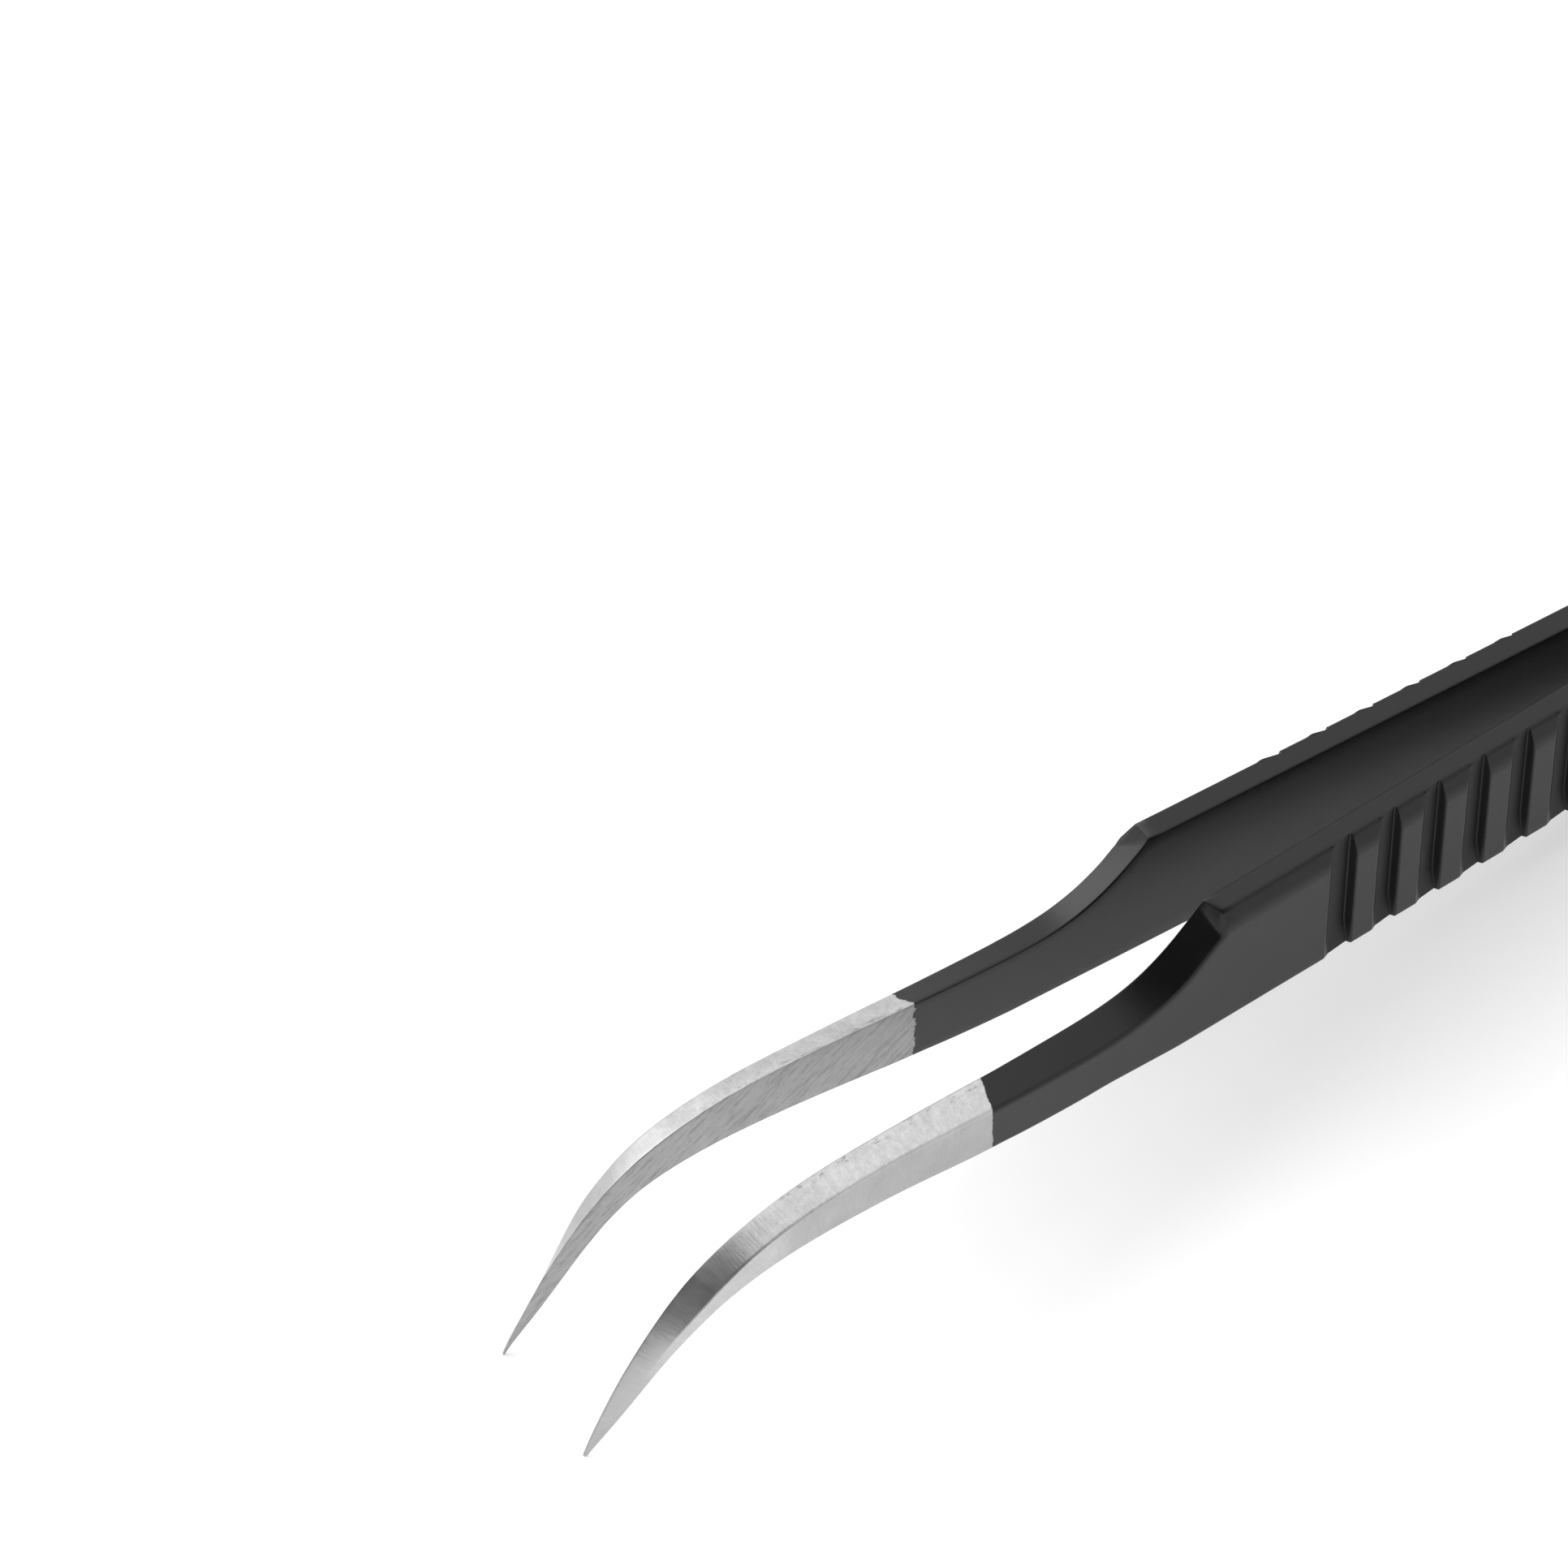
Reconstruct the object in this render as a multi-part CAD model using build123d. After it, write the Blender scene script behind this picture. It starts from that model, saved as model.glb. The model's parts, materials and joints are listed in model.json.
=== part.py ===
from build123d import *
import os
from math import asin, atan2, cos, degrees, hypot, radians, sin

os.makedirs("parts", exist_ok=True)

# Fine curved-tip tweezers: two mirrored stamped arms, welded face to face at the heel.
# Sizes are in millimetres and angles in degrees.
# Each arm is drawn in a blade frame: x runs along the arm to the tip, with the shoulder at 0,
# y is the thickness, out from the flat inner face, and z is the width, up from the lower edge.

# Handle strip
handle_width = 10.0
arm_thickness = 1.8
top_flat = 1.36
chamfer_drop = 1.5
free_length = 70.0
heel_length = 10.0
heel_corner_radius = 2.0

# Spread of the open arms at the shoulder, between their inner faces
shoulder_gap = 4.98

# Ridged grip: grooves across the outer face, deepest beside their steep rear wall
groove_count = 6
first_groove = 7.8
groove_pitch = 3.13
groove_width = 1.9
groove_wall = 0.45
front_groove_depth = 0.58
rear_groove_depth = 0.5
groove_bottom_radius = 0.15

# Head: a concave sweep from the shoulder down to the neck, then the curved beak
root_length = 2.0
sweep_length = 9.0
sweep_slope = -1.2
neck_length = 27.0
neck_top = 5.42
neck_crown = 5.95
neck_bottom = 1.83
head_length = 42.0
tip_drop = 8.1
tip_width = 0.5
tip_angle = -62.0
tip_land = 0.15

# Bevels: how far the outer face's edges stand inside the inner face's, at full thickness
sweep_bevel = 0.95
top_bevel = 0.85
bottom_bevel = 0.42
bottom_bevel_run = 4.7

# The shoulder's corner leans back, under the flat top and at the foot of the chamfer
flat_lean = 0.48
chamfer_lean = 0.25

# A layer half way down the chamfer
crest_depth = (top_flat + arm_thickness) / 2
crest_height = handle_width - chamfer_drop / 2
crest_lean = (flat_lean + chamfer_lean) / 2

# The outer face ends in a ridge, which two middle layers carry on almost to the tip: how far its
# end stands back from the tip and above it, its width there, its angle, and the depth left
ridge_end = (7.8, 9.95, 1.15, -40.0, 1.53)
crest_end = (3.75, 5.8, 0.85, -55.0, 0.9)
middle_end = (0.35, 0.65, 0.4, tip_angle, 0.4)
tip_end = (0.0, 0.0, tip_width, tip_angle, tip_land)

# The beak's edges, from the neck to the tip: shares of its length and of its fall
beak_upper_edge = [(0.16, 0.037), (0.41, 0.14), (0.6, 0.3), (0.75, 0.505), (0.88, 0.735)]
beak_lower_edge = [(0.88, 0.764), (0.775, 0.567), (0.66, 0.376), (0.51, 0.165), (0.25, 0.02)]

# Layers of the head, from the inner face outwards: depth at the root, height and lean of the
# shoulder, how early the upper edge bends and how late the lower edge does, and the layer's end
head_layers = [
    (0, handle_width, 0, 1, 1, (0.0, 0.0, tip_width, tip_angle, 0.0)),
    (tip_land, handle_width, 0, 1, 1, tip_end),
    (top_flat, handle_width, flat_lean, 1, 1, middle_end),
    (crest_depth, crest_height, crest_lean, 0.97, 1.25, crest_end),
    (arm_thickness, handle_width - chamfer_drop, chamfer_lean, 0.77, 1.9, ridge_end),
]


def polar(distance, angle):
    """A step of this length at this angle, in x and z."""
    return Vector(distance * cos(radians(angle)), distance * sin(radians(angle)))


def beak_edge(shares, bend, start, tip):
    """Points between the neck's end and the tip, at shares of the way along and down."""
    return [
        Vector(start.X + (tip.X - start.X) * along, start.Y + (tip.Y - start.Y) * down**bend)
        for along, down in shares
    ]


def layer_taper(root_depth, layer_end):
    """The depth that a layer loses for each millimetre from the root to its end."""
    setback, end_depth = layer_end[0], layer_end[-1]
    return (root_depth - end_depth) / (head_length - setback + root_length)


def head_outline(root_depth, shoulder_height, shoulder_lean, upper_bend, lower_bend, layer_end):
    """One closed outline of the head, flat in x and z, clockwise from the root's lower corner."""
    taper = layer_taper(root_depth, layer_end)

    def bevelled(x, z, bevel):
        """A point of the edge, moved by the share of the bevel that this layer's depth has."""
        depth = max(tip_land, root_depth - taper * (x + root_length))
        return Vector(x, z - bevel * (depth - tip_land) / (arm_thickness - tip_land))

    setback, rise, width, angle, end_depth = layer_end
    tip = Vector(head_length - setback, rise - tip_drop)
    tip_upper = tip + polar(width / 2, angle + 90)
    tip_lower = tip - polar(width / 2, angle + 90)
    tip_point = tip + polar(width / 2, angle)

    root_low = Vector(-root_length, 0)
    root_high = Vector(-root_length, shoulder_height)
    shoulder = Vector(-shoulder_lean, shoulder_height)
    sweep_middle_z = neck_top + (handle_width - neck_top) * 0.34
    sweep_middle = bevelled(sweep_length * 0.35, sweep_middle_z, sweep_bevel * 1.2)
    sweep_end = bevelled(sweep_length, neck_top, sweep_bevel)
    neck_rise_x = sweep_length + (neck_length - sweep_length) / 3
    neck_rise = bevelled(neck_rise_x, neck_top + (neck_crown - neck_top) * 0.28, top_bevel)
    crown = bevelled(neck_length * 0.88, neck_crown, top_bevel)
    upper_start = bevelled(neck_length, neck_crown, top_bevel)
    upper = [sweep_end, neck_rise, crown]
    upper += beak_edge(beak_upper_edge, upper_bend, upper_start, tip_upper)
    upper.append(tip_upper)

    lower_start = bevelled(neck_length, neck_bottom, -bottom_bevel)
    lower = [tip_lower, *beak_edge(beak_lower_edge, lower_bend, lower_start, tip_lower)]
    lower.append(lower_start)
    lower.append(bevelled(neck_length * 0.67, neck_bottom * 0.53, -bottom_bevel))
    lower.append(bevelled(neck_length * 0.47, neck_bottom * 0.15, -bottom_bevel))
    lower.append(bevelled(neck_length * 0.36, neck_bottom * 0.03, -bottom_bevel))
    run_back = bevelled(0, 0, -bottom_bevel_run).Y
    run_end = Vector(neck_length * 0.3 - run_back, 0)

    return Wire(
        [
            Line(root_low, root_high),
            Line(root_high, shoulder),
            Spline(shoulder, sweep_middle, sweep_end, tangents=[(1, sweep_slope), (1, 0.02)]),
            Spline(*upper, tangents=[(1, 0.02), polar(1, angle)]),
            ThreePointArc(tip_upper, tip_point, tip_lower),
            Spline(*lower, tangents=[polar(-1, angle), run_end - lower[-1]]),
            Line(lower[-1], run_end),
            Line(run_end, root_low),
        ]
    )


def make_head():
    """The shoulder, neck and beak, lofted outwards from the inner face through every layer."""
    outlines = []
    for layer in head_layers:
        depth = layer[0]
        taper = layer_taper(depth, layer[-1])
        across = Plane(origin=(-root_length, depth, 0), x_dir=(1, -taper, 0), z_dir=(-taper, -1, 0))
        outlines.append(across * Pos(root_length, 0, 0) * head_outline(*layer))
    return Solid.make_loft(outlines, ruled=True)


def make_bar(start, length):
    """A length of the plain handle strip, with its chamfered upper outer edge."""
    section = Polyline(
        (start, 0, 0),
        (start, 0, handle_width),
        (start, top_flat, handle_width),
        (start, arm_thickness, handle_width - chamfer_drop),
        (start, arm_thickness, 0),
        close=True,
    )
    return extrude(make_face(section), amount=length, dir=(1, 0, 0))


def make_groove(number):
    """The cutter for one groove of the grip, a ramp from the front down to a steep rear wall."""
    front = -first_groove - groove_pitch * number
    rear = front - groove_width
    fade = number / max(1, groove_count - 1)
    depth = front_groove_depth + (rear_groove_depth - front_groove_depth) * fade
    outside = 2 * arm_thickness
    profile = make_face(
        Polyline(
            (front, outside),
            (front, arm_thickness),
            (rear + groove_wall, arm_thickness - depth),
            (rear, arm_thickness),
            (rear, outside),
            close=True,
        )
    )
    bottom = profile.vertices().sort_by(Axis.Y)[0]
    return extrude(fillet(bottom, groove_bottom_radius), amount=handle_width)


def make_left_arm():
    """The arm on the +y side, with its heel along x and its front opened about the weld's edge."""
    front = make_bar(-free_length, free_length - root_length) + make_head()
    for number in range(groove_count):
        front -= make_groove(number)
    opened = front.rotate(Axis((-free_length, 0, 0), (0, 0, 1)), opening_angle)
    heel = make_bar(-free_length - heel_length, heel_length)
    rear_corners = heel.edges().filter_by(Axis.Y).group_by(Axis.X)[0]
    return opened + fillet(rear_corners, heel_corner_radius)


def floor_slope():
    """The angle of the line on which the heel's lower corner and the tip both rest."""
    heel_centre_x = -free_length - heel_length + heel_corner_radius
    tip_x = (free_length + head_length) * cos(radians(opening_angle)) - free_length
    run = tip_x - heel_centre_x
    fall = -tip_drop - heel_corner_radius
    tip_radius = tip_width / 2
    return degrees(atan2(fall, run) + asin((heel_corner_radius - tip_radius) / hypot(run, fall)))


opening_angle = degrees(asin(shoulder_gap / 2 / free_length))
left_arm = make_left_arm()
right_arm = left_arm.mirror(Plane.XZ)

# The open tweezers stand on the heel's lower corner and the two tips, centred over the origin
standing = Rot(0, floor_slope(), 0) * Compound([left_arm, right_arm])
box = standing.bounding_box()
to_floor = Pos(-box.center().X, -box.center().Y, -box.min.Z) * Rot(0, floor_slope(), 0)

for name, arm in {"left_arm": left_arm, "right_arm": right_arm}.items():
    export_step(to_floor * arm, "parts/" + name + ".step")

hinge = to_floor * Pos(-free_length, 0, handle_width / 2)
print("opening angle", opening_angle, "floor slope", floor_slope())
print("hinge", hinge.position, "axis", Plane(hinge).z_dir)
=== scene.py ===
import json
import math

import bpy
import numpy as np
from mathutils import Matrix, Vector


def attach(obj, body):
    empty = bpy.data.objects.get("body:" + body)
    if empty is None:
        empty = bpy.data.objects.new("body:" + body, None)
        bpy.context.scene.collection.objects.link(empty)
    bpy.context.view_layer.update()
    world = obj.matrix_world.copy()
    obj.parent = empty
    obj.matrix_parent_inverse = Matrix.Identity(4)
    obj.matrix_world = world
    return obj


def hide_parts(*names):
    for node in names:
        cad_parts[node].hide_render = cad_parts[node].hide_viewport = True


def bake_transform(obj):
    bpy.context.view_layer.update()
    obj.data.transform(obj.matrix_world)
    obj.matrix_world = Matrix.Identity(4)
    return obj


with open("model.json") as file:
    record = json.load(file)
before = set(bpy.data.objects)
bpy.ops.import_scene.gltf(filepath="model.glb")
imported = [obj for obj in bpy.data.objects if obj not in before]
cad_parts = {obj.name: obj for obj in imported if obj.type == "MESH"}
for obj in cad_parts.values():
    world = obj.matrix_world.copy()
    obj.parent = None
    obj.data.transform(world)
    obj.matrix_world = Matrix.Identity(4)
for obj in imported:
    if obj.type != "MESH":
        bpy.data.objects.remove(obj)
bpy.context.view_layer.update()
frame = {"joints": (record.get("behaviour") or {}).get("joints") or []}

# Both arms are drawn in one blade frame, in millimetres: x runs along the arm to the tip with the
# shoulder at 0, y is out from the flat inner face, z is up from the handle's lower edge.
MILLIMETRE = 0.001

# Handle
FREE_LENGTH = 70.0
HEEL_LENGTH = 10.0
HEEL_RADIUS = 2.0
HEEL_EDGE = 0.22
WIDTH = 10.0
THICKNESS = 1.8
TOP_FLAT = 1.36
CHAMFER_DROP = 1.5

# The inner faces' distance at the shoulder, a hair less than the solids', and each arm's angle
SHOULDER_GAP = 4.972
OPENING = math.asin(SHOULDER_GAP / 2 / FREE_LENGTH)

# The arms bend open over this length, half of it on each side of the weld's front edge
BEND_LENGTH = 8.0

# The joint stands at the weld's front edge, half way up the handle, and its axis leans as the arms do
SQUEEZE = frame["joints"][0]
HINGE = Vector(SQUEEZE["pos_m"])
SLOPE = math.atan2(-SQUEEZE["axis"][0], SQUEEZE["axis"][2])

# Grip: each groove goes steeply down at its front, then on as a ramp to a steep rear wall
GROOVE_COUNT = 6
FIRST_GROOVE = 7.8
GROOVE_PITCH = 3.13
GROOVE_LENGTH = 1.78
GROOVE_WALL = 0.12
GROOVE_FRONT_LENGTH = 0.4
GROOVE_FRONT_SHARE = 0.6
# The first groove begins this much further forward than its place, the others further back
GROOVE_FRONT_SHIFT = 0.12
FRONT_GROOVE_DEPTH = 0.66
REAR_GROOVE_DEPTH = 0.6
GROOVE_SOFTNESS = 0.025
# Below this height the grooves get shallower, to this share of their depth at the lower edge
GROOVE_FOOT_HEIGHT = 1.9
GROOVE_FOOT_SHARE = 0.35

# Where the handle's sections stand in front of its rounded rear: from, to, and how far apart
HANDLE_SPANS = [(-77.5, -76, 0.8), (-76, -60, 0.5), (-60, -26, 1.0), (-26, -7, 0.04), (-7, -0.9, 0.3)]
# Over this length behind the shoulder, the sections lean to meet the sweep's slanted start
LEAN_LENGTH = 7.0

# Head: edges of the inner face, in x and z, and the tip
UPPER_EDGE = [
    (0, 10), (1.27, 8.6), (3.17, 6.97), (5.06, 6.0), (7.4, 5.53), (10.5, 5.46), (14.67, 5.57),
    (18.68, 5.8), (23.5, 5.95), (27.91, 5.72), (30.8, 5.06), (33.27, 4.01), (35.31, 2.61),
    (36.97, 0.87), (38.42, -1.06), (39.74, -3.11), (40.91, -5.31), (42.22, -7.98),
]
LOWER_EDGE = [
    (8.4, 0), (10.3, 0.07), (12.75, 0.26), (15.3, 0.56), (18, 0.94), (21.6, 1.41), (25.2, 1.74),
    (28.4, 1.82), (31.1, 1.54), (32.7, 1.13), (33.95, 0.54), (36.8, -2.0), (40, -5.95),
    (41.78, -8.22),
]
TIP_RADIUS = 0.25
TIP_ANGLE = math.radians(-62)
TIP_DIRECTION = (math.cos(TIP_ANGLE), math.sin(TIP_ANGLE))

# The concave sweep ends here. Each arm is ground differently: the outer face's edge down the sweep,
# and the corner where the top flat's outer edge meets it, which is lost over a short fade
SWEEP_END = 9.0
NEAR_SWEEP = [
    (-0.6, 8.5), (-0.1, 8.05), (0.5, 7.5), (1.61, 6.36), (2.55, 5.62), (3.5, 5.12), (4.6, 4.74),
    (6.33, 4.36), (SWEEP_END, 4.22),
]
FAR_SWEEP = [
    (0.95, 8.5), (1.44, 7.98), (2.07, 7.3), (2.8, 6.68), (3.6, 6.12), (4.53, 5.64), (5.59, 5.25),
    (6.83, 4.98), (SWEEP_END, 4.78),
]
NEAR_CORNER = (-0.4, TOP_FLAT, WIDTH)
FAR_CORNER = (0.0, TOP_FLAT, WIDTH)
CORNER_FADE = 0.5

# Bevel along the beak's upper edge at full thickness, by x, for each arm
NEAR_BEVEL = [(9, 1.24), (11, 1.13), (15.4, 0.98), (20, 0.87), (25, 0.85)]
FAR_BEVEL = [(9, 0.69), (11, 0.75), (14.4, 0.81), (20, 0.85)]
# Bevel along the lower edge, and where it begins and is complete
LOWER_BEVEL = 0.42
LOWER_BEVEL_RAMP = [(2.6, 0), (7.6, 1)]

# The beak's thickness and the width of its outer face, by distance from the tip along the upper edge
THICKNESS_AT = [
    (0, 0.3), (2.4, 0.5), (4.8, 0.75), (6.1, 0.88), (7.4, 1.02), (8.8, 1.2), (10.3, 1.39),
    (12, 1.5), (14, 1.58), (27, 1.62), (31.5, 1.74), (35, 1.8), (60, 1.8),
]
FACET_AT = [(0, 0.12), (3, 0.25), (5, 0.4), (7, 0.6), (10, 0.9), (12.6, 1.2), (15, 1.7), (17, 2.3)]
# Towards the tip, the outer face takes on those widths between these two distances from it
FACET_START = 17.0
FACET_FULL = 13.0
# Both bevels are in proportion to the depth beyond this land
TIP_LAND = 0.15
# The last stretch, where the point is ground finer
POINT_LENGTH = 1.8

# Every section has six corners: inner lower, inner upper, outer edge of the top flat, upper end of
# the outer face, a point low on the outer face, and its lower end. Each is rounded, by this much on
# the coated part and on the steel, and each side between two corners is divided into so many runs.
CORNER_COUNT = 6
CORNER_POINTS = 7
COAT_EDGES = (0.2, 0.16, 0.22, 0.3, 0.5, 0.24)
STEEL_EDGES = (0.1, 0.09, 0.1, 0.26, 0.2, 0.12)
SIDE_RUNS = (9, 5, 4, 8, 3, 5)
# More rounding of the outer face's edge down the sweep, for each arm
NEAR_SWEEP_ROUNDING = 0.3
FAR_SWEEP_ROUNDING = 0.25
# The steel's sharper edges begin here, by distance along the upper edge
STEEL_START = 16.0


def spline(points, start=None, end=None):
    """A smooth curve through the points, as a function of distance along their chords."""
    points = np.array(points, float)
    steps = np.linalg.norm(np.diff(points, axis=0), axis=1)
    knots = np.concatenate([[0], np.cumsum(steps)])
    count = len(points)
    matrix = np.zeros((count, count))
    target = np.zeros_like(points)
    for i in range(1, count - 1):
        before = steps[i - 1]
        after = steps[i]
        matrix[i, i - 1 : i + 2] = (after, 2 * (before + after), before)
        target[i] = 3 * after / before * (points[i] - points[i - 1])
        target[i] += 3 * before / after * (points[i + 1] - points[i])
    if start is None:
        matrix[0, :2] = (2, 1)
        target[0] = 3 * (points[1] - points[0]) / steps[0]
    else:
        matrix[0, 0] = 1
        target[0] = start
    if end is None:
        matrix[-1, -2:] = (1, 2)
        target[-1] = 3 * (points[-1] - points[-2]) / steps[-1]
    else:
        matrix[-1, -1] = 1
        target[-1] = end
    slopes = np.linalg.solve(matrix, target)

    def at(distance):
        distance = np.clip(np.asarray(distance, float), 0, knots[-1])
        i = np.clip(np.searchsorted(knots, distance, side="right") - 1, 0, count - 2)
        step = steps[i][..., None]
        t = (distance - knots[i])[..., None] / step
        start_part = (1 + 2 * t) * (1 - t) ** 2 * points[i] + t * (1 - t) ** 2 * step * slopes[i]
        end_part = t * t * (3 - 2 * t) * points[i + 1] + t * t * (t - 1) * step * slopes[i + 1]
        return start_part + end_part

    return at, knots[-1]


def bell(half, softness):
    """The weights of a bell curve over this many samples on each side, with a sum of 1."""
    weights = np.exp(-0.5 * (np.arange(-half, half + 1) / softness) ** 2)
    return weights / weights.sum()


def smooth_table(pairs, softness):
    """A function of one number, through the pairs, with its corners softened."""
    first = -5.0
    last = 65.0
    step = 0.05
    half = int(4 * softness / step)
    count = round((last - first) / step)
    grid = first + step * np.arange(-half, count + half)
    x, y = np.array(pairs, float).T
    values = np.convolve(np.interp(grid, x, y), bell(half, softness / step), "valid")
    inside = grid[half : half + count]
    return lambda at: np.interp(at, inside, values)


thickness_at = smooth_table(THICKNESS_AT, 0.8)
facet_at = smooth_table(FACET_AT, 0.6)
lower_ramp = smooth_table(LOWER_BEVEL_RAMP, 0.5)


def rounded(distance, radius):
    """How far a corner of this radius draws the edge in, at this distance from the corner's end."""
    inside = np.clip(distance, 0, radius)
    return radius - np.sqrt(radius**2 - (radius - inside) ** 2)


def groove_depth(x):
    """How deep the grip's grooves are at each x, with softened corners."""
    step = 0.01
    fine = np.arange(-30, 0, step)
    depth = np.zeros_like(fine)
    for number in range(GROOVE_COUNT):
        front = -FIRST_GROOVE - GROOVE_PITCH * number
        rear = front - GROOVE_LENGTH
        begin = front + GROOVE_FRONT_SHIFT if number == 0 else front - GROOVE_FRONT_SHIFT
        fade = number / (GROOVE_COUNT - 1)
        deepest = FRONT_GROOVE_DEPTH + (REAR_GROOVE_DEPTH - FRONT_GROOVE_DEPTH) * fade
        stops = [rear, rear + GROOVE_WALL, begin - GROOVE_FRONT_LENGTH, begin]
        ramp = np.interp(fine, stops, [0, 1, GROOVE_FRONT_SHARE, 0])
        depth = np.maximum(depth, deepest * ramp)
    depth = np.convolve(depth, bell(30, GROOVE_SOFTNESS / step), "same")
    return np.interp(x, fine, depth, left=0, right=0)


def handle_stations():
    """Corners of the handle's sections, from the heel to just behind the shoulder."""
    heel = -FREE_LENGTH - HEEL_LENGTH
    turn = np.linspace(0, np.pi / 2, 14)
    rear = heel + HEEL_RADIUS * (1 - np.cos(turn))
    x = np.concatenate([rear] + [np.arange(*span) for span in HANDLE_SPANS])
    low = rounded(x - heel, HEEL_RADIUS)
    high = WIDTH - low
    groove = groove_depth(x)
    outer = THICKNESS - groove

    # The flat reaches the outer face where the heel's corner has cut the chamfer away, and stays
    # a hair inside the floor of a groove
    chamfer_depth = THICKNESS - TOP_FLAT
    flat = TOP_FLAT + np.clip(WIDTH - high, 0, CHAMFER_DROP) / CHAMFER_DROP * chamfer_depth
    flat = np.minimum(flat, outer - 0.02)
    foot = WIDTH - CHAMFER_DROP * np.clip((outer - TOP_FLAT) / chamfer_depth, 0, 1)
    foot = np.minimum(foot, high)

    corners = np.zeros((len(x), CORNER_COUNT, 3))
    corners[:, :, 0] = x[:, None]
    corners[:, 0, 2] = low
    corners[:, 1, 2] = high
    corners[:, 2, 1] = flat
    corners[:, 2, 2] = high
    corners[:, 3, 1] = outer
    corners[:, 3, 2] = foot
    corners[:, 4, 1] = outer
    corners[:, 4, 2] = np.maximum(GROOVE_FOOT_HEIGHT, low)
    corners[:, 5, 1] = THICKNESS - GROOVE_FOOT_SHARE * groove
    corners[:, 5, 2] = low

    # The heel's end is drawn in all round, for its rounded edge
    pull = rounded(x - heel, HEEL_EDGE)[:, None]
    middle = (low + high)[:, None] / 2
    half = (high - low)[:, None] / 2 - pull
    corners[:, :, 1] = np.clip(corners[:, :, 1], pull, THICKNESS - pull)
    corners[:, :, 2] = np.clip(corners[:, :, 2], middle - half, middle + half)
    return corners


def sweep_stations(upper, upper_end, outer_points, flat_corner):
    """Corners of the sections down the concave sweep, and their distances along the upper edge."""
    # Sections stand a little closer together at the shoulder
    share = np.linspace(0, 1, 90) ** 1.15
    along = share * upper_end
    outer, outer_end = spline(outer_points, end=(1, -0.01))
    top = upper(along)
    out = outer(share * outer_end)
    corners = np.zeros((len(share), CORNER_COUNT, 3))
    corners[:, 0, 0] = top[:, 0]
    corners[:, 1, 0::2] = top
    corners[:, 3:, 0] = out[:, :1]
    corners[:, 3:, 1] = THICKNESS
    corners[:, 3, 2] = out[:, 1]
    corners[:, 4, 2] = GROOVE_FOOT_HEIGHT
    corners[:, 5, 2] = LOWER_BEVEL * lower_ramp(out[:, 0])

    # The flat's outer edge comes from its own corner, and soon joins the line between the other two
    part = TOP_FLAT / THICKNESS
    corners[:, 2] = corners[:, 1] * (1 - part) + corners[:, 3] * part
    kink = np.array(flat_corner) - corners[0, 2]
    corners[:, 2] += kink * np.clip(1 - along / CORNER_FADE, 0, 1)[:, None]
    return corners, along


def beak_lower_points(top, ahead):
    """The lower edge's point for each upper one: straight below at first, then square to the edge."""
    plumb_end = 10.5
    lower, total = spline(LOWER_EDGE, start=(1, 0), end=TIP_DIRECTION)
    dense = lower(np.linspace(0, total, 4000))
    points = np.zeros_like(top)
    for i, (point, direction) in enumerate(zip(top, ahead)):
        if point[0] < plumb_end:
            points[i] = (point[0], np.interp(point[0], dense[:, 0], dense[:, 1]))
        else:
            points[i] = dense[np.argmin(np.abs((dense - point) @ direction))]
    return points


def beak_stations(upper, start, total, bevel_table):
    """Corners of the beak's sections from the neck to the tip, and their distances as above."""
    near_tip = total - 3
    body_along = np.arange(start + 0.15, near_tip, 0.17)
    point_along = np.linspace(near_tip + 0.1, total, 28)
    along = np.concatenate([body_along, point_along])
    top = upper(along)
    nudge = 0.02
    ahead = upper(np.minimum(along + nudge, total)) - upper(np.maximum(along - nudge, 0))
    ahead /= np.linalg.norm(ahead, axis=1)[:, None]
    bottom = beak_lower_points(top, ahead)
    down = bottom - top
    width = np.linalg.norm(down, axis=1)
    down /= width[:, None]

    # Widths of the lower bevel, the outer face and the upper bevel
    left = total - along
    depth = thickness_at(left)
    share = (depth - TIP_LAND) / (THICKNESS - TIP_LAND)
    low_bevel = np.minimum(LOWER_BEVEL * share, width * 0.25)
    wide_facet = width - low_bevel - smooth_table(bevel_table, 0.6)(top[:, 0]) * share
    narrow_facet = np.minimum(facet_at(left), wide_facet)
    narrowing = np.clip((FACET_START - left) / (FACET_START - FACET_FULL), 0, 1)
    facet = narrow_facet * narrowing + wide_facet * (1 - narrowing)
    facet = np.maximum(facet, 0.1 * width)
    high_bevel = width - low_bevel - facet
    rise = np.minimum(GROOVE_FOOT_HEIGHT, 0.35 * facet)

    part = TOP_FLAT / THICKNESS
    none = np.zeros_like(width)
    corners = np.zeros((len(along), CORNER_COUNT, 3))
    for corner, base, shift, out in (
        (0, bottom, none, none),
        (1, top, none, none),
        (2, top, high_bevel * part, depth * part),
        (3, top, high_bevel, depth),
        (4, bottom, -low_bevel - rise, depth),
        (5, bottom, -low_bevel, depth),
    ):
        corners[:, corner, 0::2] = base + down * shift[:, None]
        corners[:, corner, 1] = out

    # The point is half as wide and thinner
    keep = 1 - 0.5 * np.clip(1 - left / POINT_LENGTH, 0, 1)[:, None] ** 2
    centre = (corners[:, 0] + corners[:, 1]) / 2
    for axis in (0, 2):
        middle = centre[:, axis, None]
        corners[:, :, axis] = middle + (corners[:, :, axis] - middle) * keep
    corners[:, :, 1] *= 0.4 + 0.6 * keep
    return corners, along


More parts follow.
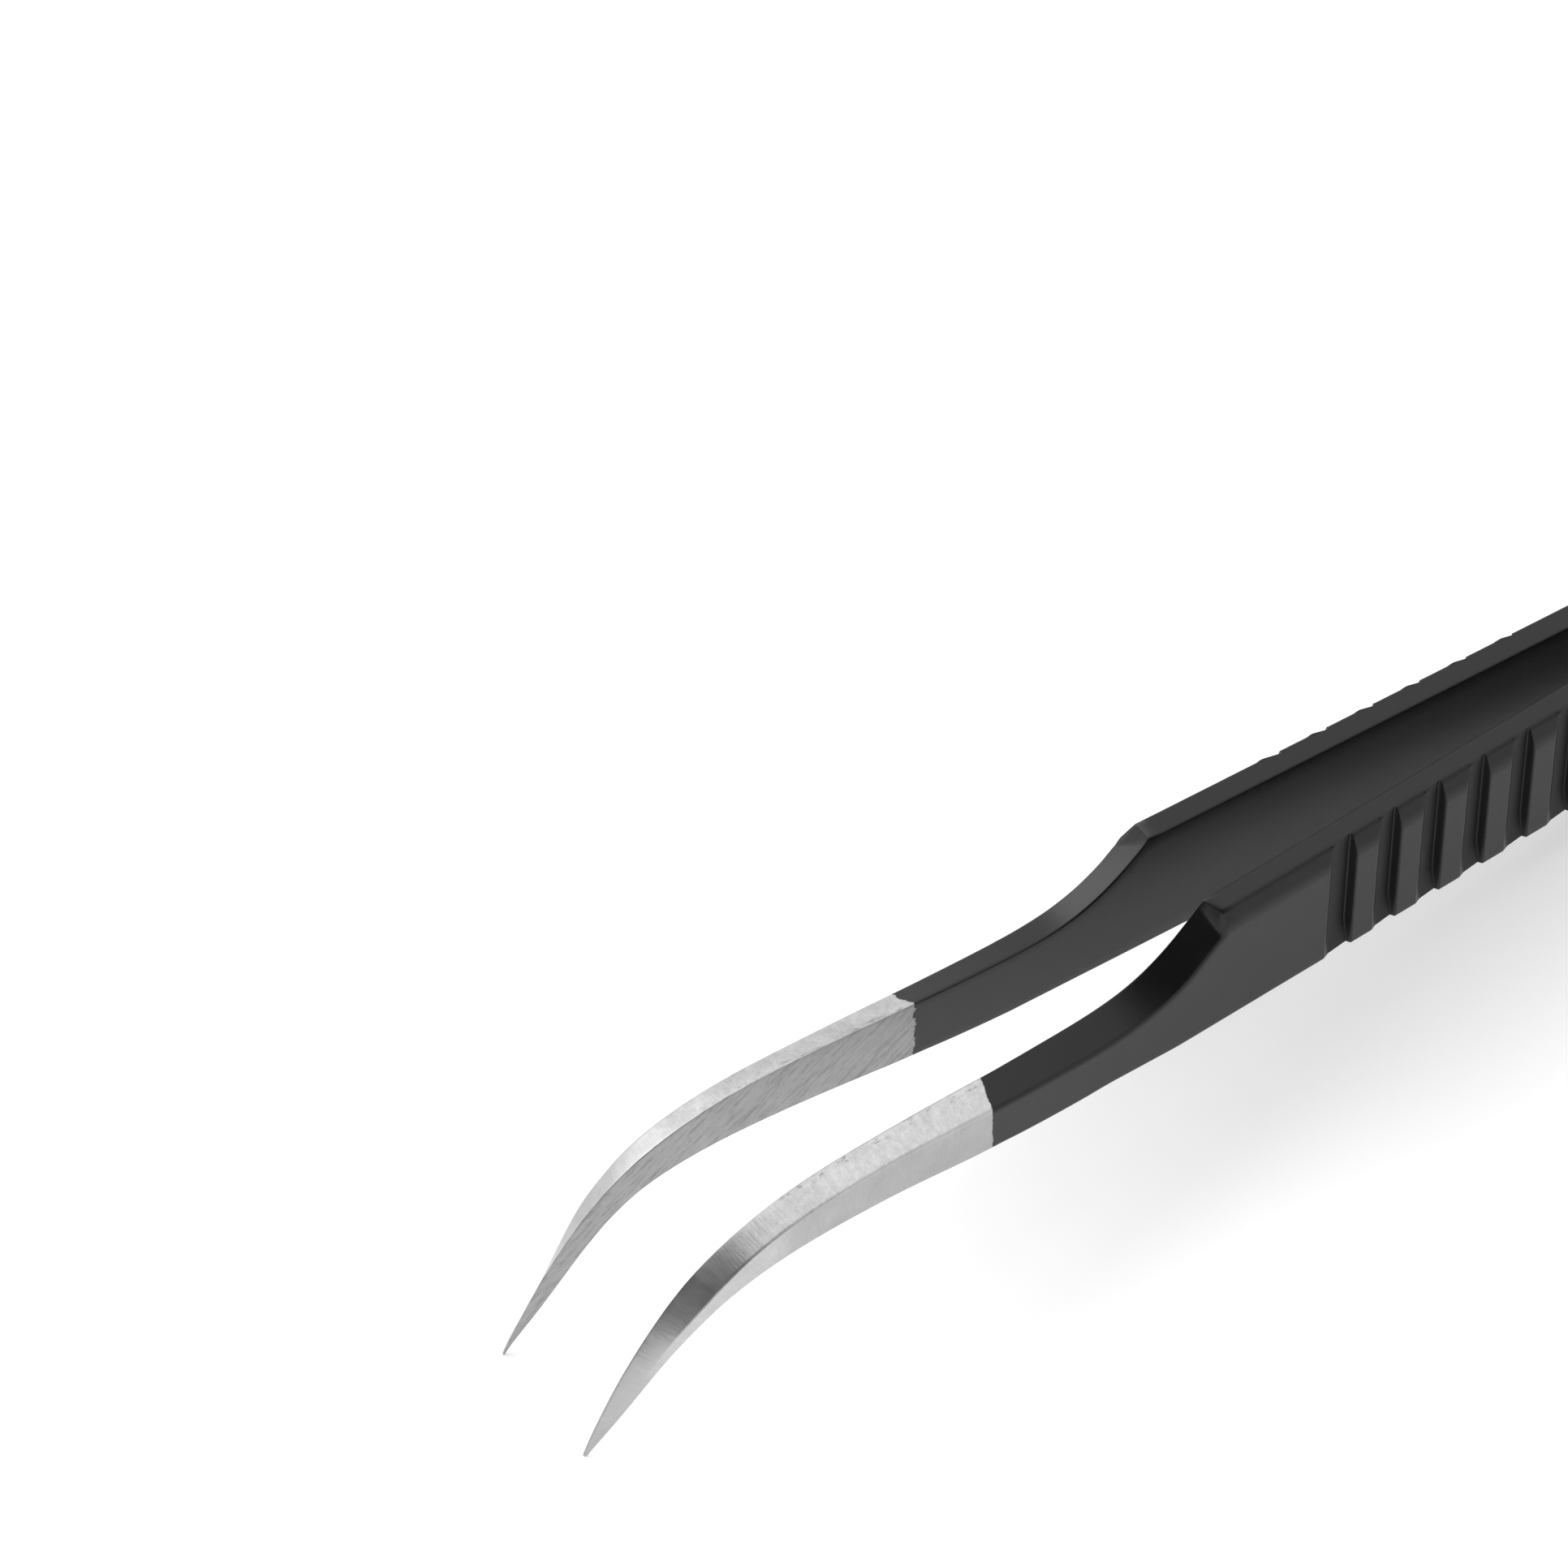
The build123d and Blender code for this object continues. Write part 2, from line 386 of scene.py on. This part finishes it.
def tip_stations(last):
    """The rounded end: the last section drawn in as it moves on by the tip's radius."""
    turn = np.radians([14, 28, 42, 55, 67, 78, 86])
    middle = (last[0] + last[1]) / 2
    shrink = np.cos(turn)[:, None, None]
    corners = np.repeat(last[None], len(turn), axis=0)
    corners[:, :, 0::2] = middle[0::2] + (corners[:, :, 0::2] - middle[0::2]) * shrink
    corners[:, :, 0] += TIP_RADIUS * TIP_DIRECTION[0] * np.sin(turn)[:, None]
    corners[:, :, 2] += TIP_RADIUS * TIP_DIRECTION[1] * np.sin(turn)[:, None]
    corners[:, :, 1] *= 0.45 + 0.55 * shrink[:, :, 0]
    return corners


def edge_softness(station, sweep_rounding):
    """How far each corner's rounding reaches, for every section."""
    steel = np.clip((station - STEEL_START) / 2, 0, 1)[:, None]
    coat_edges = np.array(COAT_EDGES)
    softness = coat_edges + (np.array(STEEL_EDGES) - coat_edges) * steel
    sweep_zone = np.clip(station / 1.5, 0, 1) * np.clip((STEEL_START - station) / 5, 0, 1)
    softness[:, 3] += sweep_zone * sweep_rounding
    return softness


def rings(corners, softness):
    """Closed rings of points: each corner rounded, each side divided into its runs."""
    back = np.roll(corners, 1, axis=1) - corners
    on = np.roll(corners, -1, axis=1) - corners
    back_length = np.linalg.norm(back, axis=2, keepdims=True)
    on_length = np.linalg.norm(on, axis=2, keepdims=True)
    reach = np.minimum(softness[..., None], 0.45 * np.minimum(back_length, on_length))
    first = corners + back / np.maximum(back_length, 1e-9) * reach
    last = corners + on / np.maximum(on_length, 1e-9) * reach
    points = []
    for corner in range(CORNER_COUNT):
        for t in np.linspace(0, 1, CORNER_POINTS):
            weights = ((1 - t) ** 2, 1.5 * t * (1 - t), t * t)
            point = weights[0] * first[:, corner] + weights[1] * corners[:, corner]
            point += weights[2] * last[:, corner]
            points.append(point / sum(weights))
        end = first[:, (corner + 1) % CORNER_COUNT]
        for t in np.linspace(0, 1, SIDE_RUNS[corner] + 1)[1:-1]:
            points.append(last[:, corner] * (1 - t) + end * t)
    return np.stack(points, axis=1)


def bend_line():
    """The arm's middle line in the blade frame, bent open softly where the weld ends."""
    first = -90.0
    step = 0.02
    x = np.arange(first, 50, step)
    t = np.clip((x + FREE_LENGTH + BEND_LENGTH / 2) / BEND_LENGTH, 0, 1)
    angle = OPENING * t * t * (3 - 2 * t)
    between = (angle[1:] + angle[:-1]) / 2
    run = first + step * np.concatenate([[0], np.cumsum(np.cos(between))])
    out = step * np.concatenate([[0], np.cumsum(np.sin(between))])
    return x, angle, run, out


def to_world(points, side):
    """Blade points to the frame's metres, for the arm on this side of the middle plane."""
    x, angle, run, out = bend_line()
    turn = np.interp(points[..., 0], x, angle)
    along = np.interp(points[..., 0], x, run) - points[..., 1] * np.sin(turn)
    across = np.interp(points[..., 0], x, out) + points[..., 1] * np.cos(turn)
    ahead = along + FREE_LENGTH
    up = points[..., 2] - WIDTH / 2
    world = np.empty_like(points)
    world[..., 0] = math.cos(SLOPE) * ahead - math.sin(SLOPE) * up
    world[..., 1] = side * across
    world[..., 2] = math.sin(SLOPE) * ahead + math.cos(SLOPE) * up
    return world * MILLIMETRE + np.array(HINGE)


def tube_faces(count, size):
    """Faces between rings of this many points each, and one across each end."""
    faces = []
    for i in range(count - 1):
        for j in range(size):
            k = (j + 1) % size
            faces.append((i * size + j, (i + 1) * size + j, (i + 1) * size + k, i * size + k))
    faces.append(tuple(range(size)))
    faces.append(tuple((count - 1) * size + j for j in reversed(range(size))))
    return faces


def store(mesh, name, vectors):
    attribute = mesh.attributes.new(name, "FLOAT_VECTOR", "POINT")
    attribute.data.foreach_set("vector", vectors.reshape(-1).astype(np.float32))


def make_arm(name, side, outer_points, flat_corner, bevel_table, sweep_rounding):
    """One arm as a single closed mesh, with its blade and grain coordinates stored on it."""
    upper, total = spline(UPPER_EDGE, end=TIP_DIRECTION)
    grid = np.linspace(0, 12, 2000)
    sweep_length = np.interp(SWEEP_END, upper(grid)[:, 0], grid)

    # The outer corners lean to meet the sweep, the lower ones less
    handle = handle_stations()
    handle_along = handle[:, 1, 0].copy()
    lean = np.clip((handle_along + LEAN_LENGTH) / LEAN_LENGTH, 0, 1) ** 2
    slant = outer_points[0][0]
    handle[:, 2, 0] += lean * flat_corner[0]
    handle[:, 3, 0] += lean * slant
    handle[:, 4:, 0] += (lean * slant * 0.6)[:, None]

    sweep, sweep_along = sweep_stations(upper, sweep_length, outer_points, flat_corner)
    beak, beak_along = beak_stations(upper, sweep_length, total, bevel_table)
    tip = tip_stations(beak[-1])
    tip_along = total + 0.04 * np.arange(1, len(tip) + 1)
    corners = np.concatenate([handle, sweep, beak, tip])
    station = np.concatenate([handle_along, sweep_along, beak_along, tip_along])
    points = rings(corners, edge_softness(station, sweep_rounding))

    faces = tube_faces(*points.shape[:2])
    if side < 0:
        faces = [face[::-1] for face in faces]
    mesh = bpy.data.meshes.new(name)
    mesh.from_pydata(to_world(points, side).reshape(-1, 3).tolist(), [], faces)
    mesh.shade_smooth()
    store(mesh, "blade", points)

    # Grain: distance along the upper edge, depth, and distance from the ring's first point
    grain = points.copy()
    grain[..., 0] = station[:, None]
    grain[..., 2] = np.linalg.norm(points - points[:, :1], axis=2)
    store(mesh, "grain", grain)
    arm = bpy.data.objects.new(name, mesh)
    bpy.context.scene.collection.objects.link(arm)
    return arm


def node(tree, kind, inputs=None, **settings):
    """A shader node with these settings and inputs, which are numbers or other sockets."""
    made = tree.nodes.new(kind)
    for name, value in settings.items():
        setattr(made, name, value)
    for name, value in (inputs or {}).items():
        if isinstance(value, bpy.types.NodeSocket):
            tree.links.new(value, made.inputs[name])
        else:
            made.inputs[name].default_value = value
    return made


def compute(tree, operation, *values):
    inputs = {i: value for i, value in enumerate(values)}
    return node(tree, "ShaderNodeMath", inputs, operation=operation).outputs[0]


def product(tree, first, second):
    return compute(tree, "MULTIPLY", first, second)


def plus(tree, base, field, share):
    """The base and this share of the field."""
    return compute(tree, "MULTIPLY_ADD", field, share, base)


def soft_step(tree, value, low, high, below=0.0, above=1.0):
    inputs = {"Value": value, "From Min": low, "From Max": high, "To Min": below, "To Max": above}
    made = node(tree, "ShaderNodeMapRange", inputs, interpolation_type="SMOOTHSTEP")
    return made.outputs["Result"]


def fade_out(tree, value, low, high):
    return soft_step(tree, value, low, high, 1.0, 0.0)


def band(tree, value, rise, fall):
    """1 between two soft edges and 0 outside them; each edge is given by its start and end."""
    return product(tree, soft_step(tree, value, *rise), fade_out(tree, value, *fall))


def noise(tree, vector, scale, stretch=(1, 1, 1), detail=2.0, roughness=0.5):
    """Noise between 0 and 1, in millimetres, stretched by these factors."""
    mapped = node(tree, "ShaderNodeMapping", {"Vector": vector, "Scale": stretch})
    inputs = {"Vector": mapped.outputs[0], "Scale": scale, "Detail": detail, "Roughness": roughness}
    return node(tree, "ShaderNodeTexNoise", inputs).outputs["Fac"]


def mix(tree, factor, low, high):
    """Low where the factor is 0, high where it is 1."""
    return node(tree, "ShaderNodeMix", {0: factor, 2: low, 3: high}, data_type="FLOAT").outputs[0]


def bare_zone(tree, place, shift, border, ragged):
    """0 on the coat and 1 on bare steel. The border's x changes with depth and height."""
    x, y, z = place
    border_x, by_depth, by_height = border
    line = plus(tree, plus(tree, border_x, y, by_depth), z, by_height)
    wander = noise(tree, shift, 1.3, detail=6.0, roughness=0.7)
    wander = plus(tree, -ragged, wander, 2 * ragged)
    past = compute(tree, "SUBTRACT", x, compute(tree, "ADD", line, wander))
    return soft_step(tree, past, -0.04, 0.05)


def steel_tone(tree, place, shift, strip, marks, streaks, bend_reflection_tone):
    """How light the steel is: ground across, mottled on top, pitted by the inner edge, streaked, with
    painted shade on the inner face and a painted reflection tone on the beak's bend.
    """
    x, y = place[:2]
    across, blotch, fine = marks
    tone = plus(tree, 0.36, across, 0.16)
    tone = plus(tree, tone, blotch, 0.3)
    tone = plus(tree, tone, fine, 0.1)

    # Mottled top face
    top_face = band(tree, y, (0.02, 0.08), (1.5, 1.6))
    top_face = product(tree, top_face, soft_step(tree, x, 29.0, 34.0, 1.0, 0.15))
    patch = noise(tree, strip, 2.4, (1, 0.8, 0.8), detail=7.0, roughness=0.85)
    patch = compute(tree, "SUBTRACT", patch, 0.47)
    tone = plus(tree, tone, product(tree, patch, top_face), 0.75)

    # Pits along the top face's inner edge
    pit_field = noise(tree, strip, 1.6, (0.8, 2.2, 2.2), detail=5.0, roughness=0.65)
    edge_zone = product(tree, band(tree, y, (0.03, 0.08), (0.25, 0.5)), fade_out(tree, x, 28.0, 30.0))
    pit = product(tree, soft_step(tree, pit_field, 0.54, 0.62), edge_zone)
    tone = plus(tree, tone, pit, -0.26)

    # The beak's bend, painted brighter on the near arm against the dark card's reflection and duller
    # on the far arm under the side lamp's glint: a painted reflection
    outside = soft_step(tree, y, 0.02, 0.14)
    bend_reflection_zone = product(tree, band(tree, x, (28.0, 31.0), (36.0, 40.0)), outside)
    tone = product(tree, tone, plus(tree, 1.0, bend_reflection_zone, bend_reflection_tone - 1))

    # Slanted streaks on the inner face; the whole inner face is also painted darker, as painted shade
    # from the shaded floor between the arms that it reflects
    slant = (0, math.radians(52), 0)
    diagonal = node(tree, "ShaderNodeMapping", {"Vector": shift, "Rotation": slant}).outputs[0]
    streak = noise(tree, diagonal, 1.7, (2.4, 1, 0.4), detail=6.0, roughness=0.75)
    inside = fade_out(tree, y, 0.02, 0.14)
    streak = product(tree, soft_step(tree, streak, 0.46, 0.66), inside)
    tone = plus(tree, tone, streak, -streaks)
    # Painted shade: the inner face's steel is darker (0.56) than the outer faces' (0.7)
    return product(tree, tone, soft_step(tree, y, 0.02, 0.14, 0.56, 0.7))


def coat_roughness(tree, place, cloud):
    """The coat is a little rougher in the grooves and on the chamfer."""
    x, y = place[:2]
    recess = product(tree, band(tree, y, (1.0, 1.3), (1.6, 1.78)), fade_out(tree, x, -0.6, -0.3))
    return plus(tree, plus(tree, 0.3, cloud, 0.08), recess, 0.22)


def make_finish(name, seed, border, ragged, streaks, bend_reflection_tone):
    """Black coat behind the border, bare ground steel in front of it."""
    material = bpy.data.materials.new(name)
    material.use_nodes = True
    tree = material.node_tree
    tree.nodes.clear()
    blade = node(tree, "ShaderNodeAttribute", attribute_name="blade").outputs["Vector"]
    grain = node(tree, "ShaderNodeAttribute", attribute_name="grain").outputs["Vector"]
    shift = node(tree, "ShaderNodeMapping", {"Vector": blade, "Location": (seed, seed, 0)}).outputs[0]
    strip = node(tree, "ShaderNodeMapping", {"Vector": grain, "Location": (seed, 0, 0)}).outputs[0]
    place = node(tree, "ShaderNodeSeparateXYZ", {"Vector": blade}).outputs
    bare = bare_zone(tree, place, shift, border, ragged)

    # Marks that several channels share
    across = noise(tree, strip, 7.0, (1, 0.12, 0.12), detail=3.0, roughness=0.65)
    blotch = noise(tree, shift, 0.55, detail=5.0, roughness=0.65)
    fine = noise(tree, shift, 9.0, detail=3.0, roughness=0.7)
    cloud = noise(tree, shift, 0.35, detail=3.0)

    coat = plus(tree, 0.0015, cloud, 0.002)
    steel = steel_tone(tree, place, shift, strip, (across, blotch, fine), streaks, bend_reflection_tone)
    grey = mix(tree, bare, coat, steel)
    color = node(tree, "ShaderNodeCombineColor", {channel: grey for channel in range(3)})

    steel_rough = plus(tree, plus(tree, 0.24, blotch, 0.2), across, 0.1)
    rough = mix(tree, bare, coat_roughness(tree, place, cloud), steel_rough)

    # The coat stands above the steel, and both have a fine relief
    coat_height = plus(tree, 0.03, noise(tree, shift, 5.0), 0.0035)
    steel_height = plus(tree, product(tree, across, 0.012), fine, 0.004)
    height = mix(tree, bare, coat_height, steel_height)
    bump = node(tree, "ShaderNodeBump", {"Height": height, "Distance": MILLIMETRE, "Strength": 1.0})

    inputs = {
        "Base Color": color.outputs[0],
        "Metallic": bare,
        "Roughness": rough,
        "Normal": bump.outputs[0],
        "Specular IOR Level": 0.35,
    }
    shader = node(tree, "ShaderNodeBsdfPrincipled", inputs)
    node(tree, "ShaderNodeOutputMaterial", {"Surface": shader.outputs[0]})
    return material


def make_matte(name, grey):
    """A plain grey without gloss."""
    material = bpy.data.materials.new(name)
    material.use_nodes = True
    shader = material.node_tree.nodes["Principled BSDF"]
    shader.inputs["Base Color"].default_value = (grey, grey, grey, 1)
    shader.inputs["Roughness"].default_value = 1.0
    shader.inputs["Specular IOR Level"].default_value = 0.0
    return material


def make_floor():
    """A pale floor that is seen a little lighter than its colour, and keeps its shadows."""
    bpy.ops.mesh.primitive_plane_add(size=6)
    floor = bpy.context.object
    floor.name = "floor"
    material = make_matte("floor_white", 0.8)
    tree = material.node_tree
    shader = tree.nodes["Principled BSDF"]
    light_path = node(tree, "ShaderNodeLightPath").outputs
    seen = compute(tree, "MAXIMUM", light_path["Is Camera Ray"], light_path["Is Glossy Ray"])
    seen = compute(tree, "MAXIMUM", seen, light_path["Is Transmission Ray"])
    shader.inputs["Emission Color"].default_value = (1, 1, 1, 1)
    tree.links.new(product(tree, seen, 0.22), shader.inputs["Emission Strength"])
    floor.data.materials.append(material)


def make_room():
    """A white room that is brighter overhead."""
    room = bpy.data.worlds.new("studio")
    bpy.context.scene.world = room
    room.use_nodes = True
    tree = room.node_tree
    tree.nodes.clear()
    direction = node(tree, "ShaderNodeTexCoord").outputs["Generated"]
    height = node(tree, "ShaderNodeSeparateXYZ", {"Vector": direction}).outputs["Z"]
    strength = soft_step(tree, height, 0.5, 0.74, 1.0, 1.6)
    background = node(tree, "ShaderNodeBackground", {"Color": (1, 1, 1, 1), "Strength": strength})
    node(tree, "ShaderNodeOutputWorld", {"Surface": background.outputs[0]})


def make_side_lamp():
    """A soft lamp behind the far arm, which shows in its sweep."""
    lamp_data = bpy.data.lights.new("side_lamp", "AREA")
    lamp_data.shape = "RECTANGLE"
    lamp_data.size = 1.5
    lamp_data.size_y = 1.4
    lamp_data.energy = 16.0
    lamp = bpy.data.objects.new("side_lamp", lamp_data)
    bpy.context.scene.collection.objects.link(lamp)
    lamp.location = Vector((0.65, -1.2, 0.72))
    lamp.rotation_euler = lamp.location.to_track_quat("Z", "Y").to_euler()


def make_card():
    """A dark card on an arc in front of the tips, for reflections, unseen by the camera."""
    radius = 1.35
    top = 2.5
    angles = np.radians(np.linspace(-19, 95, 18))
    low = [(radius * math.cos(a), radius * math.sin(a), 0.0) for a in angles]
    high = [(radius * math.cos(a), radius * math.sin(a), top) for a in angles]
    count = len(angles)
    panels = [(i, i + 1, count + i + 1, count + i) for i in range(count - 1)]
    mesh = bpy.data.meshes.new("card")
    mesh.from_pydata(low + high, [], panels)
    card = bpy.data.objects.new("card", mesh)
    bpy.context.scene.collection.objects.link(card)
    card.visible_camera = False
    card.visible_shadow = False
    mesh.materials.append(make_matte("card_dark", 0.05))


def make_camera():
    """The camera, at the photograph's place and angle."""
    place = Vector((0.2298, 0.3211, 0.5911))
    right = Vector((-0.8262, 0.5609, -0.0471)).normalized()
    ahead = Vector((-0.2833, -0.4862, -0.8267)).normalized()
    right = (right - ahead * right.dot(ahead)).normalized()
    up = right.cross(ahead)
    camera_data = bpy.data.cameras.new("camera")
    camera_data.lens = 287.2
    camera_data.sensor_width = 36
    camera = bpy.data.objects.new("camera", camera_data)
    bpy.context.scene.collection.objects.link(camera)
    pose = Matrix((right, up, -ahead)).transposed().to_4x4()
    pose.translation = place
    camera.matrix_world = pose
    bpy.context.scene.camera = camera


# The near arm stays with the fixed arm's body, and the far one keeps its place in the frame
near = make_arm("left_arm_blade", 1, NEAR_SWEEP, NEAR_CORNER, NEAR_BEVEL, NEAR_SWEEP_ROUNDING)
far = make_arm("right_arm_blade", -1, FAR_SWEEP, FAR_CORNER, FAR_BEVEL, FAR_SWEEP_ROUNDING)
# The near arm's beak bend is painted lighter and the far arm's darker, as painted reflection
near.data.materials.append(
    make_finish("near_finish", 3.0, (15.0, 0.25, 0.03), ragged=0.22, streaks=0.06, bend_reflection_tone=1.25)
)
far.data.materials.append(
    make_finish("far_finish", 41.0, (15.35, 0.3, 0.0), ragged=0.55, streaks=0.2, bend_reflection_tone=0.8)
)
for arm, solid in ((near, "left_arm"), (far, "right_arm")):
    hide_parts(solid)
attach(near, "fixed_arm")
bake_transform(far)

make_floor()
make_room()
make_side_lamp()
make_card()
make_camera()
bpy.context.scene.view_settings.view_transform = "Standard"
